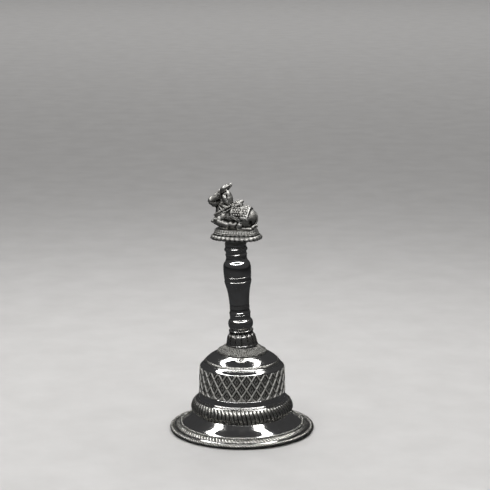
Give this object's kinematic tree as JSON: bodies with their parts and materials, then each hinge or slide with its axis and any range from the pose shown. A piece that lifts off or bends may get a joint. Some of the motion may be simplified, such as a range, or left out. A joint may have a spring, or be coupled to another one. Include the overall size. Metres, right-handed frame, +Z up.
{
  "type": "prayer hand bell",
  "caption": "Flared hand bell with a lattice band, a turned baluster handle, a couchant bull finial and a ball clapper hung on a link.",
  "frame": {"origin": "centre of the rim's underside, on the plane the bell stands on", "axes": "+Z up along the cup's axis; -X the side the bull faces; +Y away from the viewer when the bull faces left"},
  "size_m": [0.068, 0.068, 0.1172],
  "materials": {
    "polished_silver": "polished and slightly oxidised in the recesses",
    "frosted_silver": "embossed and frosted, darkened in the recesses",
    "cast_silver": "cast, chased and lightly polished",
    "inner_steel": "plain",
    "clapper_metal": "plain turned"
  },
  "bodies": {
    "bell": {"bell_cup": "polished_silver", "rim_rope_wire": "frosted_silver", "rim_bead_wire": "frosted_silver", "crown_rosette": "frosted_silver", "foot_cap": "polished_silver", "handle_bead": "polished_silver", "handle_grip": "polished_silver", "handle_collar": "polished_silver", "lotus_plinth": "cast_silver", "bull": "cast_silver", "tie_rod": "inner_steel", "crown_washer": "inner_steel", "eye_nut": "inner_steel"},
    "link": {"clapper_link": "clapper_metal"},
    "clapper": {"clapper_shank": "clapper_metal", "clapper_ball": "clapper_metal"}
  },
  "joints": [
    {"name": "link_swing", "type": "hinge", "parent": "bell", "child": "link", "pos_m": [0.00055, 0, 0.02952], "axis": [1, 0, 0], "range_deg": [-38, 38]},
    {"name": "clapper_swing", "type": "hinge", "parent": "link", "child": "clapper", "pos_m": [0.00055, 0, 0.02452], "axis": [0, 1, 0], "range_deg": [-12, 12]}
  ]
}
